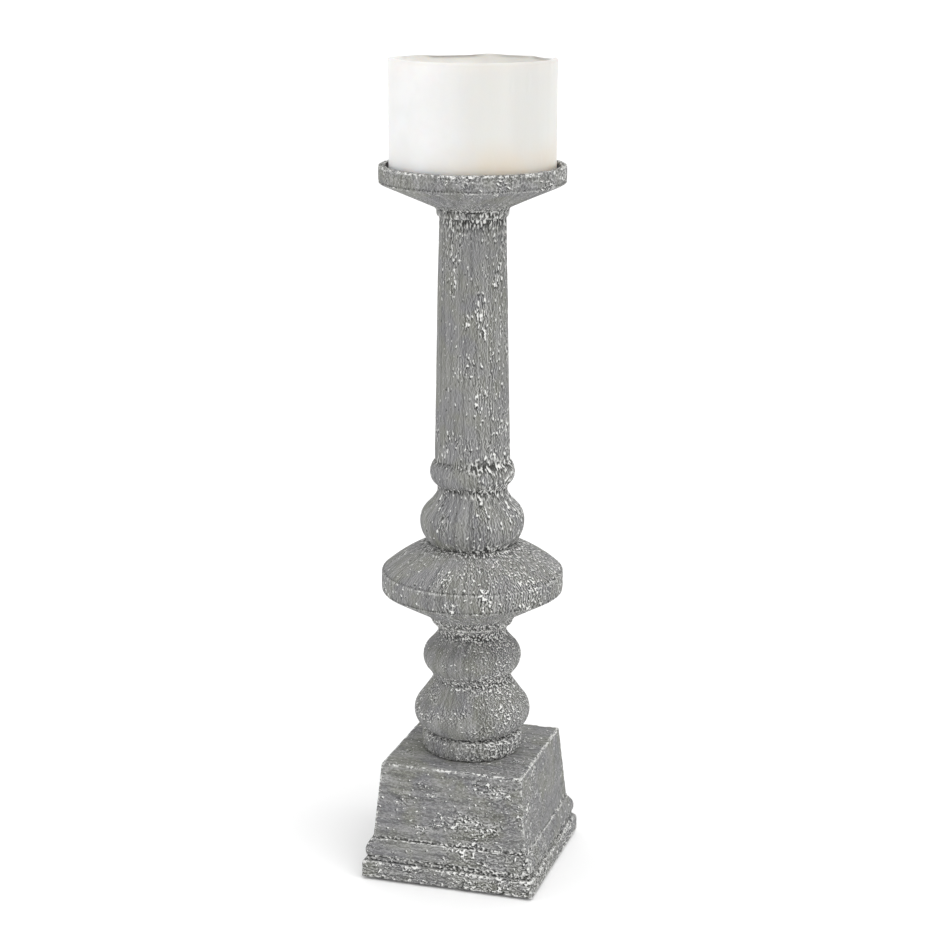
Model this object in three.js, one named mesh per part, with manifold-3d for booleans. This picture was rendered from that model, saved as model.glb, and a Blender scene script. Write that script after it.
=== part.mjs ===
// A turned wooden candlestick for one pillar candle, as an assembly of separate pieces.
//
// From the table up it is a square plinth (felt, slab, moulding, tapered block), a loose foot
// ring, a turned baluster with a bulb and a ball, a wide disc, a turned column that starts in a vase
// and a bead, and a shallow dish. A steel tie rod runs up the middle of them all. A nut and two washers
// pull on its lower end, and the candle spike is the nut on its upper end, so the spike clamps the iron
// wax plate and the whole stack. Four wood screws hold the slab to the block. The candle stands on the
// wax plate, over the spike, and lifts straight off.
//
// Millimetres, +Z up. The origin is the middle of the felt's lower face, and the plinth's sides face
// along X and Y.
import * as THREE from "three";
import { mergeVertices } from "three/addons/utils/BufferGeometryUtils.js";
import Module from "manifold-3d";

// ---------------------------------------------------------------- driving dimensions, in millimetres

const seam = 0.1; // glue line, or the gap between two faces that are clamped together
const slip = 0.3; // radial gap between a tenon and its socket, or a fastener and its hole

const felt = { thickness: 1.5, inset: 3.5, cornerRadius: 3 };
const slab = { width: 113, height: 11, edge: 1 };
const moulding = { height: 14.6, step: 1.8, projection: 3.8, quirk: 3, quirkDepth: 1, belly: 6.5 };
const block = { height: 49.3, inset: 0.3, taper: 4.4, edge: 0.9 };
const footRing = { radius: 32.3, height: 13.5, round: 4.5 };

// The baluster's outline. Heights are from the foot ring's upper face. A foot or a flank is the angle,
// in degrees from level, at which the outline joins or leaves a round.
const baluster = {
  height: 74.5,
  bulbRadius: 37.2,
  bulbHeight: 12.3,
  bulbRound: 13,
  bulbFlank: 37,
  waistRadius: 24.8,
  waistHeight: 35,
  ballRadius: 31.5,
  ballHeight: 48.7,
  ballRound: 12,
  ballFoot: 50,
  ballFlank: 45,
  neckRadius: 22,
  neckHeight: 65.7,
  collarRadius: 26,
  collarHeight: 3,
};

// The disc's outline. Heights are from the baluster's upper face.
const disc = {
  radius: 57.5,
  height: 49,
  footRadius: 27,
  coveReach: 5.5,
  coveRise: 4.6,
  rimHeight: 18.6,
  rimDepth: 12.9,
  rimRound: 1.2,
  crown: 1.2,
  seatRadius: 29,
};

// The column's outline. Heights are from the disc's upper face.
const column = {
  height: 211,
  vaseRadius: 33.2,
  vaseHeight: 14.5,
  vaseRound: 14,
  vaseDepth: 17,
  vaseFlank: 45,
  neckRadius: 22.2,
  neckHeight: 34.2,
  beadRadius: 26.9,
  beadHeight: 46.2,
  beadRound: 10,
  footRadius: 23.7,
  headRadius: 20.8,
  swell: 0.25,
  capRadius: 22.6,
  capHeight: 5.2,
  capRound: 2.6,
};

const dish = {
  height: 26.5,
  footRadius: 22.9,
  footEdge: 0.4,
  rimHeight: 10.9,
  rimWall: 4.5,
  rimRound: 1.2,
  recess: 4,
  recessEdge: 0.5,
};
const waxPlate = { thickness: 1, lipHeight: 2, lipWidth: 0.7 };

const plinthTenon = { radius: 16, length: 8 };
const tenon = { radius: 12, length: 10 };

const rod = { radius: 4, chamfer: 0.8 };
const nut = { acrossFlats: 13, height: 6.5 };
const washer = { radius: 11, thickness: 1.5 };
const lockWasher = { radius: 7.4, thickness: 2, split: 1.6 };
const nutWell = { radius: 13 };
const spike = {
  acrossFlats: 17,
  hexHeight: 2.5,
  sleeveRadius: 6.5,
  sleeveLength: 12,
  socketRoof: 1.5,
  coneRadius: 4.5,
  tipRadius: 0.5,
  height: 30,
};
const screw = {
  headRadius: 3.9,
  headHeight: 2.6,
  shankRadius: 2,
  length: 38,
  tip: 5,
  spacing: 72,
  recessDepth: 1.4,
  recessWidth: 1,
};

const candle = {
  radius: 51,
  height: 66.4,
  clearance: 1.8,
  footEdge: 1,
  rimWidth: 4,
  rimRound: 1.5,
  poolDepth: 11,
  poolRadius: 20,
};
const wick = { radius: 1.2, stand: 5 };

const { degToRad } = THREE.MathUtils;
const turnSegments = 32;
const curveSteps = 3;
const smallSegments = 16;

// ------------------------------------------------------------------------- heights up the stack

const slabFoot = felt.thickness + seam;
const mouldingFoot = slabFoot + slab.height + seam;
const blockFoot = mouldingFoot + moulding.height + seam;
const ringFoot = blockFoot + block.height + seam;
const balusterFoot = ringFoot + footRing.height + seam;
const discFoot = balusterFoot + baluster.height + seam;
const columnFoot = discFoot + disc.height + seam;
const dishFoot = columnFoot + column.height + seam;
const plateFoot = dishFoot + dish.height - dish.recess + seam;
const spikeFoot = plateFoot + waxPlate.thickness + seam;
const candleFoot = spikeFoot;

const rodBore = rod.radius + slip;
const sleeveBore = spike.sleeveRadius + slip;
const recessRadius = candle.radius + candle.clearance;

// ------------------------------------------------------------------------------------- materials

const greyWash = new THREE.MeshStandardMaterial({ color: 0x8c8c88, roughness: 0.85, metalness: 0 });
const blackIron = new THREE.MeshStandardMaterial({ color: 0x2c2b2a, roughness: 0.55, metalness: 0.9 });
const zincSteel = new THREE.MeshStandardMaterial({ color: 0xb4b7ba, roughness: 0.35, metalness: 1 });
const charcoalFelt = new THREE.MeshStandardMaterial({ color: 0x2f3030, roughness: 1, metalness: 0 });
const ivoryWax = new THREE.MeshStandardMaterial({ color: 0xf3f1e8, roughness: 0.45, metalness: 0 });
const cottonWick = new THREE.MeshStandardMaterial({ color: 0xe6e0d0, roughness: 0.95, metalness: 0 });

// ------------------------------------------------------------------------------ building methods

const wasm = await Module();
wasm.setup();

// A closed three.js geometry as a manifold-3d solid.
function toSolid(geometry) {
  const bare = geometry.clone();
  bare.deleteAttribute("normal");
  bare.deleteAttribute("uv");
  const merged = mergeVertices(bare, 1e-4);
  const vertProperties = merged.attributes.position.array;
  const triVerts = new Uint32Array(merged.index.array);
  return new wasm.Manifold(new wasm.Mesh({ numProp: 3, vertProperties, triVerts }));
}

// A manifold-3d solid as a three.js geometry.
function toGeometry(solid) {
  const { vertProperties, triVerts } = solid.getMesh();
  const geometry = new THREE.BufferGeometry();
  geometry.setAttribute("position", new THREE.BufferAttribute(new Float32Array(vertProperties), 3));
  geometry.setIndex(new THREE.BufferAttribute(new Uint32Array(triVerts), 1));
  geometry.computeVertexNormals();
  return geometry;
}

// The outline is a path of (radius, height). It runs up the outside, and starts and ends on the
// axis or closes on itself.
function turned(outline, segments = turnSegments) {
  return new THREE.LatheGeometry(outline.getPoints(curveSteps), segments).rotateX(Math.PI / 2);
}

// As turned, on a square plan: the outline is a path of (half width, height).
function squared(outline) {
  const corners = outline.getPoints(curveSteps).map((p) => new THREE.Vector2(p.x * Math.SQRT2, p.y));
  return new THREE.LatheGeometry(corners, 4, Math.PI / 4).rotateX(Math.PI / 2);
}

// An upright cylinder from height foot to height head, as a solid.
function post(radius, foot, head, segments = smallSegments) {
  const shape = new THREE.CylinderGeometry(radius, radius, head - foot, segments);
  return toSolid(shape.rotateX(Math.PI / 2).translate(0, 0, (foot + head) / 2));
}

// An upright hexagonal prism standing on height 0, as a solid.
function hexagon(acrossFlats, height) {
  return post(acrossFlats / Math.sqrt(3), 0, height, 6);
}

function piece(name, geometry, material, height) {
  const mesh = new THREE.Mesh(geometry, material);
  mesh.name = name;
  mesh.position.z = height;
  return mesh;
}

// The lower end of a turned piece: up the rod's bore is the outline's last stretch, so this starts
// at the bore, goes out over the tenon and stops where the tenon meets the shoulder.
function startOnTenon(outline, radius, length) {
  outline.moveTo(rodBore, -length);
  outline.lineTo(radius, -length);
  outline.lineTo(radius, 0);
}

// The upper end of a turned piece: in over the top face, down into the socket for the next
// piece's tenon, in to the bore, and down it to where the outline began.
function endInSocket(outline, height, foot) {
  const depth = tenon.length + slip;
  outline.lineTo(tenon.radius + slip, height);
  outline.lineTo(tenon.radius + slip, height - depth);
  outline.lineTo(rodBore, height - depth);
  outline.lineTo(rodBore, foot);
}

// ----------------------------------------------------------------------------------- the plinth

const slabHalf = slab.width / 2;
const mouldingHalf = slabHalf - moulding.step;
const blockHalf = mouldingHalf - moulding.projection - block.inset;
const screwCorners = [
  [-1, -1],
  [1, -1],
  [1, 1],
  [-1, 1],
].map(([x, y]) => [(x * screw.spacing) / 2, (y * screw.spacing) / 2]);

function feltSheet() {
  const half = slabHalf - felt.inset;
  const r = felt.cornerRadius;
  const sheet = new THREE.Shape();
  sheet.moveTo(-half + r, -half);
  sheet.absarc(half - r, -half + r, r, -Math.PI / 2, 0);
  sheet.absarc(half - r, half - r, r, 0, Math.PI / 2);
  sheet.absarc(-half + r, half - r, r, Math.PI / 2, Math.PI);
  sheet.absarc(-half + r, -half + r, r, Math.PI, Math.PI * 1.5);
  const settings = { depth: felt.thickness, bevelEnabled: false, curveSegments: curveSteps };
  return piece("felt_base", new THREE.ExtrudeGeometry(sheet, settings), charcoalFelt, 0);
}

// A square board with its upper and lower edges eased.
function boardOutline(half, height, edge) {
  const outline = new THREE.Path();
  outline.moveTo(0, 0);
  outline.lineTo(half - edge / 2, 0);
  outline.lineTo(half, edge / 2);
  outline.lineTo(half, height - edge);
  outline.lineTo(half - edge, height);
  outline.lineTo(0, height);
  return outline;
}

// The four wood screws as a cutting tool: clearance round each shank and under each head.
function screwHoles(foot, head, countersunk) {
  return screwCorners.map(([x, y]) => {
    const hole = post(screw.shankRadius + slip, foot, head);
    if (!countersunk) return hole.translate([x, y, 0]);
    const sink = new THREE.Path();
    sink.moveTo(0, foot);
    sink.lineTo(screw.headRadius + slip * 2, foot);
    sink.lineTo(screw.headRadius + slip * 2, seam);
    sink.lineTo(screw.shankRadius + slip, screw.headHeight + seam + slip);
    sink.lineTo(0, screw.headHeight + seam + slip);
    return hole.add(toSolid(turned(sink, smallSegments))).translate([x, y, 0]);
  });
}

function without(solid, tools) {
  return tools.reduce((rest, tool) => rest.subtract(tool), solid);
}

function plinthSlab() {
  const board = toSolid(squared(boardOutline(slabHalf, slab.height, slab.edge)));
  const well = post(nutWell.radius, -1, slab.height + 1, turnSegments);
  const cut = without(board, [well, ...screwHoles(-1, slab.height + 1, true)]);
  return piece("plinth_slab", toGeometry(cut), greyWash, slabFoot);
}

// A shallow groove over the slab, then an upright face that rounds over towards the block's foot.
function plinthMoulding() {
  const h = moulding.height;
  const { quirk, quirkDepth, belly } = moulding;
  const outline = new THREE.Path();
  outline.moveTo(0, 0);
  outline.lineTo(mouldingHalf - quirkDepth, 0);
  outline.lineTo(mouldingHalf - quirkDepth, quirk);
  outline.quadraticCurveTo(mouldingHalf, quirk, mouldingHalf, belly);
  outline.quadraticCurveTo(mouldingHalf, (belly + h) / 2, mouldingHalf - moulding.projection, h);
  outline.lineTo(0, h);
  const bore = post(rodBore, -1, h + 1);
  const cut = without(toSolid(squared(outline)), [bore, ...screwHoles(-1, h + 1, false)]);
  return piece("plinth_moulding", toGeometry(cut), greyWash, mouldingFoot);
}

function plinthBlock() {
  const h = block.height;
  const head = blockHalf - block.taper;
  const outline = new THREE.Path();
  outline.moveTo(0, 0);
  outline.lineTo(blockHalf, 0);
  outline.lineTo(head, h - block.edge);
  outline.lineTo(head - block.edge, h);
  outline.lineTo(0, h);
  const bore = post(rodBore, -1, h + 1);
  const socket = post(plinthTenon.radius + slip, h - plinthTenon.length - slip, h + 1, turnSegments);
  const pilotDepth = slabFoot + seam + screw.length + slip * 2 - blockFoot;
  const cut = without(toSolid(squared(outline)), [bore, socket, ...screwHoles(-1, pilotDepth, false)]);
  return piece("plinth_block", toGeometry(cut), greyWash, blockFoot);
}

function baseScrew(number) {
  const [x, y] = screwCorners[number - 1];
  const outline = new THREE.Path();
  outline.moveTo(0, 0);
  outline.lineTo(screw.headRadius, 0);
  outline.lineTo(screw.shankRadius, screw.headHeight);
  outline.lineTo(screw.shankRadius, screw.length - screw.tip);
  outline.lineTo(0, screw.length);
  const arm = new THREE.BoxGeometry(screw.headRadius, screw.recessWidth, screw.recessDepth * 2);
  const recess = toSolid(arm).add(toSolid(arm.clone().rotateZ(Math.PI / 2)));
  const cut = toSolid(turned(outline, smallSegments)).subtract(recess);
  const mesh = piece(`base_screw_${number}`, toGeometry(cut), zincSteel, slabFoot + seam);
  mesh.position.set(x, y, slabFoot + seam);
  return mesh;
}

// ----------------------------------------------------------------------------- the turned stack

function ring() {
  const { radius, height, round } = footRing;
  const hole = plinthTenon.radius + slip;
  const outline = new THREE.Path();
  outline.moveTo(hole, 0);
  outline.lineTo(radius - round / 2, 0);
  outline.quadraticCurveTo(radius, 0, radius, height * 0.4);
  outline.absarc(radius - round, height - round, round, 0, Math.PI / 2);
  outline.lineTo(hole, height);
  outline.lineTo(hole, 0);
  return piece("foot_ring", turned(outline), greyWash, ringFoot);
}

// A round of that radius, entered at one angle below level and left at another above it, and then
// a hollow that starts along the round's slope and ends upright at the next waist.
function roundAndHollow(outline, round, foot, flank, waist) {
  outline.absellipse(round.x, round.y, round.radius, round.depth ?? round.radius, -foot, 0);
  outline.absarc(round.x, round.y, round.radius, 0, flank);
  const x = round.x + round.radius * Math.cos(flank);
  const y = round.y + round.radius * Math.sin(flank);
  outline.quadraticCurveTo(waist.x, y + (x - waist.x) / Math.tan(flank), waist.x, waist.y);
}

function lowerBaluster() {
  const b = baluster;
  const bulb = { x: b.bulbRadius - b.bulbRound, y: b.bulbHeight, radius: b.bulbRound };
  const ball = { x: b.ballRadius - b.ballRound, y: b.ballHeight, radius: b.ballRound };
  const waist = { x: b.waistRadius, y: b.waistHeight };
  const neck = { x: b.neckRadius, y: b.neckHeight };
  const collarFoot = b.height - b.collarHeight;
  const bulbFoot = Math.asin(b.bulbHeight / b.bulbRound);
  const foot = plinthTenon.length + footRing.height;
  const outline = new THREE.Path();
  startOnTenon(outline, plinthTenon.radius, foot);
  roundAndHollow(outline, bulb, bulbFoot, degToRad(b.bulbFlank), waist);
  roundAndHollow(outline, ball, degToRad(b.ballFoot), degToRad(b.ballFlank), neck);
  outline.quadraticCurveTo(b.neckRadius, (b.neckHeight + collarFoot) / 2, b.collarRadius, collarFoot);
  outline.lineTo(b.collarRadius, b.height);
  endInSocket(outline, b.height, -foot);
  return piece("lower_baluster", turned(outline), greyWash, balusterFoot);
}

function knopDisc() {
  const d = disc;
  const rimTop = d.rimHeight + d.rimDepth;
  const coveRadius = d.footRadius + d.coveReach;
  const outline = new THREE.Path();
  startOnTenon(outline, tenon.radius, tenon.length);
  outline.lineTo(d.footRadius, 0);
  outline.quadraticCurveTo(d.footRadius + d.coveReach / 4, d.coveRise / 2, coveRadius, d.coveRise);
  outline.lineTo(d.radius - d.rimRound, d.rimHeight - d.rimRound / 2);
  outline.quadraticCurveTo(d.radius, d.rimHeight, d.radius, d.rimHeight + d.rimRound);
  outline.lineTo(d.radius, rimTop - d.rimRound);
  outline.quadraticCurveTo(d.radius, rimTop, d.radius - d.rimRound, rimTop + d.rimRound / 2);
  const middle = { x: (d.radius + d.seatRadius) / 2, y: (rimTop + d.height) / 2 };
  outline.quadraticCurveTo(middle.x + d.crown * 2, middle.y + d.crown, d.seatRadius, d.height);
  endInSocket(outline, d.height, -tenon.length);
  return piece("knop_disc", turned(outline), greyWash, discFoot);
}

function upperColumn() {
  const c = column;
  const vaseCentre = c.vaseRadius - c.vaseRound;
  const vase = { x: vaseCentre, y: c.vaseHeight, radius: c.vaseRound, depth: c.vaseDepth };
  const vaseFoot = Math.asin(c.vaseHeight / c.vaseDepth);
  const neck = { x: c.neckRadius, y: c.neckHeight };
  const beadCentre = c.beadRadius - c.beadRound;
  const beadFoot = Math.acos((c.neckRadius - beadCentre) / c.beadRound);
  const beadHead = Math.acos((c.footRadius - beadCentre) / c.beadRound);
  const capFoot = c.height - c.capHeight;
  const middle = { x: (c.footRadius + c.headRadius) / 2, y: (c.beadHeight + capFoot) / 2 };
  const outline = new THREE.Path();
  startOnTenon(outline, tenon.radius, tenon.length);
  roundAndHollow(outline, vase, vaseFoot, degToRad(c.vaseFlank), neck);
  outline.absarc(beadCentre, c.beadHeight, c.beadRound, -beadFoot, beadHead);
  outline.quadraticCurveTo(middle.x + c.swell * 2, middle.y, c.headRadius, capFoot);
  outline.quadraticCurveTo(c.capRadius, capFoot, c.capRadius, capFoot + c.capRound);
  outline.lineTo(c.capRadius, c.height);
  endInSocket(outline, c.height, -tenon.length);
  return piece("upper_column", turned(outline), greyWash, columnFoot);
}

function candleDish() {
  const d = dish;
  const outer = recessRadius + d.rimWall;
  const rimFoot = d.height - d.rimHeight;
  const floor = d.height - d.recess;
  const outline = new THREE.Path();
  startOnTenon(outline, tenon.radius, tenon.length);
  outline.lineTo(d.footRadius, 0);
  outline.lineTo(d.footRadius, d.footEdge);
  outline.lineTo(outer - d.rimRound, rimFoot - d.rimRound / 2);
  outline.quadraticCurveTo(outer, rimFoot, outer, rimFoot + d.rimRound);
  outline.absarc(outer - d.rimRound, d.height - d.rimRound, d.rimRound, 0, Math.PI / 2);
  outline.lineTo(recessRadius + d.recessEdge, d.height);
  outline.lineTo(recessRadius, d.height - d.recessEdge);
  outline.lineTo(recessRadius, floor);
  outline.lineTo(sleeveBore, floor);
  outline.lineTo(sleeveBore, floor - spike.sleeveLength);
  outline.lineTo(rodBore, floor - spike.sleeveLength);
  outline.lineTo(rodBore, -tenon.length);
  return piece("candle_dish", turned(outline), greyWash, dishFoot);
}

// ---------------------------------------------------------------------------------- the ironwork

function ironPlate() {
  const { thickness, lipHeight, lipWidth } = waxPlate;
  const radius = recessRadius - slip;
  const outline = new THREE.Path();
  outline.moveTo(sleeveBore, 0);
  outline.lineTo(radius, 0);
  outline.lineTo(radius, lipHeight);
  outline.lineTo(radius - lipWidth, lipHeight);
  outline.lineTo(radius - lipWidth, thickness);
  outline.lineTo(sleeveBore, thickness);
  outline.lineTo(sleeveBore, 0);
  return piece("wax_plate", turned(outline), blackIron, plateFoot);
}

// A cone over a thin hexagon, with a sleeve under it that screws onto the rod's upper end.
function candleSpike() {
  const shaft = new THREE.Path();
  shaft.moveTo(0, -spike.socketRoof);
  shaft.lineTo(rodBore, -spike.socketRoof);
  shaft.lineTo(rodBore, -spike.sleeveLength);
  shaft.lineTo(spike.sleeveRadius, -spike.sleeveLength);
  shaft.lineTo(spike.sleeveRadius, spike.hexHeight / 2);
  shaft.lineTo(spike.coneRadius, spike.hexHeight / 2);
  shaft.lineTo(spike.coneRadius, spike.hexHeight);
  shaft.lineTo(spike.tipRadius, spike.height);
  shaft.lineTo(0, spike.height);
  const body = hexagon(spike.acrossFlats, spike.hexHeight).add(toSolid(turned(shaft, smallSegments)));
  return piece("candle_spike", toGeometry(body), blackIron, spikeFoot);
}

const washerFoot = mouldingFoot - seam - washer.thickness;
const lockWasherFoot = washerFoot - seam - lockWasher.thickness;
const nutFoot = lockWasherFoot - seam - nut.height;

function tieRod() {
  const length = spikeFoot - spike.socketRoof - slip - nutFoot;
  const { radius, chamfer } = rod;
  const outline = new THREE.Path();
  outline.moveTo(0, 0);
  outline.lineTo(radius - chamfer, 0);
  outline.lineTo(radius, chamfer);
  outline.lineTo(radius, length - chamfer);
  outline.lineTo(radius - chamfer, length);
  outline.lineTo(0, length);
  return piece("tie_rod", turned(outline, smallSegments), zincSteel, nutFoot);
}

function flatRing(radius, thickness) {
  const outline = new THREE.Path();
  outline.moveTo(rodBore, 0);
  outline.lineTo(radius, 0);
  outline.lineTo(radius, thickness);
  outline.lineTo(rodBore, thickness);
  outline.lineTo(rodBore, 0);
  return turned(outline, smallSegments);
}

function rodWasher() {
  return piece("rod_washer", flatRing(washer.radius, washer.thickness), zincSteel, washerFoot);
}

function springWasher() {
  const { radius, thickness, split } = lockWasher;
  const gap = new THREE.BoxGeometry(radius * 2, split, thickness * 3).translate(radius, 0, 0);
  const cut = toSolid(flatRing(radius, thickness)).subtract(toSolid(gap));
  return piece("lock_washer", toGeometry(cut), zincSteel, lockWasherFoot);
}

function rodNut() {
  const cut = hexagon(nut.acrossFlats, nut.height).subtract(post(rodBore, -1, nut.height + 1));
  return piece("rod_nut", toGeometry(cut), zincSteel, nutFoot);
}

// ------------------------------------------------------------------------------------ the candle

// The hole that the spike makes, with clearance round its hexagon and its cone.
const spikeHole = {
  hexRadius: spike.acrossFlats / Math.sqrt(3) + slip,
  hexTop: spike.hexHeight + slip,
  coneFoot: spike.coneRadius + slip,
  coneTip: spike.tipRadius + slip,
  top: spike.height + slip * 2,
};

function pillarCandle() {
  const c = candle;
  const wickBore = wick.radius + slip;
  const inner = c.radius - c.rimWidth;
  const pool = c.height - c.poolDepth;
  const hole = spikeHole;
  const outline = new THREE.Path();
  outline.moveTo(hole.hexRadius, 0);
  outline.lineTo(c.radius - c.footEdge, 0);
  outline.lineTo(c.radius, c.footEdge);
  outline.absarc(c.radius - c.rimRound, c.height - c.rimRound, c.rimRound, 0, Math.PI / 2);
  outline.lineTo(inner, c.height - c.rimRound / 3);
  outline.quadraticCurveTo(inner, pool, c.poolRadius, pool);
  outline.lineTo(wickBore, pool);
  outline.lineTo(wickBore, hole.top);
  outline.lineTo(hole.coneTip, hole.top);
  outline.lineTo(hole.coneFoot, hole.hexTop);
  outline.lineTo(hole.hexRadius, hole.hexTop);
  outline.lineTo(hole.hexRadius, 0);
  return piece("candle_wax", turned(outline), ivoryWax, candleFoot);
}

function candleWick() {
  const foot = spikeHole.top + slip;
  const length = candle.height - candle.poolDepth + wick.stand - foot;
  const outline = new THREE.Path();
  outline.moveTo(0, 0);
  outline.lineTo(wick.radius, 0);
  outline.lineTo(wick.radius, length - wick.radius / 2);
  outline.lineTo(wick.radius / 2, length);
  outline.lineTo(0, length);
  return piece("candle_wick", turned(outline, smallSegments), cottonWick, candleFoot + foot);
}

// ---------------------------------------------------------------------------------- the assembly

const plinth = new THREE.Group();
plinth.add(feltSheet(), plinthSlab(), plinthMoulding(), plinthBlock());
screwCorners.forEach((corner, i) => plinth.add(baseScrew(i + 1)));

const stem = new THREE.Group();
stem.add(ring(), lowerBaluster(), knopDisc(), upperColumn(), candleDish());

const ironwork = new THREE.Group();
ironwork.add(ironPlate(), candleSpike(), tieRod(), rodWasher(), springWasher(), rodNut());

const pillar = new THREE.Group();
pillar.add(pillarCandle(), candleWick());

const candlestick = new THREE.Group();
candlestick.add(plinth, stem, ironwork, pillar);
export default candlestick;
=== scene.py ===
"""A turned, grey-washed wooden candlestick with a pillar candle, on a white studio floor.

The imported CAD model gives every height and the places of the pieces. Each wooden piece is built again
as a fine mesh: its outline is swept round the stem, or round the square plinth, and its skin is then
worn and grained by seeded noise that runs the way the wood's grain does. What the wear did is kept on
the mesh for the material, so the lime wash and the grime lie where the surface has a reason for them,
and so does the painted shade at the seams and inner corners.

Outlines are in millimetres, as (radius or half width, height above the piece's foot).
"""

import math

import bpy
import numpy as np
from mathutils import Matrix, Vector


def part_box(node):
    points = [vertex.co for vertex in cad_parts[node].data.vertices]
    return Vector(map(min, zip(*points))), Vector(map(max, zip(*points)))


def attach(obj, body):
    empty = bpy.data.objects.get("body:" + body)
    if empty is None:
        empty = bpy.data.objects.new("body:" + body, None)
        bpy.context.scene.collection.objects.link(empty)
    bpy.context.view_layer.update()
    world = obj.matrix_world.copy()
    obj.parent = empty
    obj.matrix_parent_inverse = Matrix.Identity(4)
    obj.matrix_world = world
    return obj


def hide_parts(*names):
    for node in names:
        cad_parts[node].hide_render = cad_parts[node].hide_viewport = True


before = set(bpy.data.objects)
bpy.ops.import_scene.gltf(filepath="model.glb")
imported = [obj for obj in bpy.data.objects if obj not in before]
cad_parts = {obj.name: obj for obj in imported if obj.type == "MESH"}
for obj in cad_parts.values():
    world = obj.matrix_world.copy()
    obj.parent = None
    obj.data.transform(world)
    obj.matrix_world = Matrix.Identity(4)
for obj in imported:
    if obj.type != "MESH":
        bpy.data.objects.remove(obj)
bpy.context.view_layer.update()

MM = 0.001
SLIP = 0.3  # the gap round a tenon, a screw or the spike
ROD_BORE = 4.3
TENON = {"radius": 12, "length": 10}
PLINTH_TENON = {"radius": 16, "length": 8}
RING_HEIGHT = 13.5
LONG_TENON = PLINTH_TENON["length"] + RING_HEIGHT  # through the foot ring and into the plinth
SLEEVE = {"bore": 6.8, "length": 12}
SCREW_HOLE = {"place": 36, "radius": 2.3, "head": 4.5, "sink": 3, "pilot": 12.9}  # placed along X and Y

# Ways round the stem, as angles from +X.
FRONT = math.radians(-73)  # the way the candle's front faces; its rim has burnt lower at the back
WORN_SIDE = math.radians(-8)  # the side of the stem with the most lime wash left on it
WORN_CORNER = math.radians(-51)  # and of the plinth, close by its front right corner


# ------------------------------------------------------------------------------------------ noise


def lattice(cell, seed):
    """A value from 0 to 1 for each whole-numbered point, the same on every run."""
    h = cell[..., 0] * 374761393 + cell[..., 1] * 668265263 + cell[..., 2] * 1440662683 + seed * 974634777
    h = (h ^ ((h & 0xFFFFFFFF) >> 13)) & 0xFFFFFFFF
    h = (h * 1274126177) & 0xFFFFFFFF
    h = ((h ^ (h >> 15)) * 668265263) & 0xFFFFFFFF
    return (h ^ (h >> 16)) / 0xFFFFFFFF


def value_noise(p, seed):
    """Smooth noise from 0 to 1 at points p, with features about one unit across."""
    cell = np.floor(p).astype(np.int64)
    f = p - cell
    f = f * f * (3 - 2 * f)
    total = np.zeros(p.shape[:-1])
    for corner in range(8):
        bits = np.array([corner & 1, corner >> 1 & 1, corner >> 2 & 1])
        weight = np.where(bits, f, 1 - f).prod(-1)
        total += weight * lattice(cell + bits, seed)
    return total


TURNED_LATTICE = np.array(Matrix.Rotation(0.9, 3, Vector((0.4, 0.7, 0.6))))


def noise(p, size, seed, octaves=2):
    """Noise from 0 to 1 at points p in millimetres. size is the features' size, or one per axis."""
    total, weight = 0, 0
    for octave in range(octaves):
        share = 0.5**octave
        q = (p * 2**octave / np.array(size)) @ TURNED_LATTICE
        total = total + share * value_noise(q, seed + octave)
        weight += share
    return total / weight


def ramp(x, low, high):
    """0 below low, 1 above high, and smooth in between."""
    t = np.clip((x - low) / (high - low), 0, 1)
    return t * t * (3 - 2 * t)


# ---------------------------------------------------------------------------------------- outlines


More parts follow.
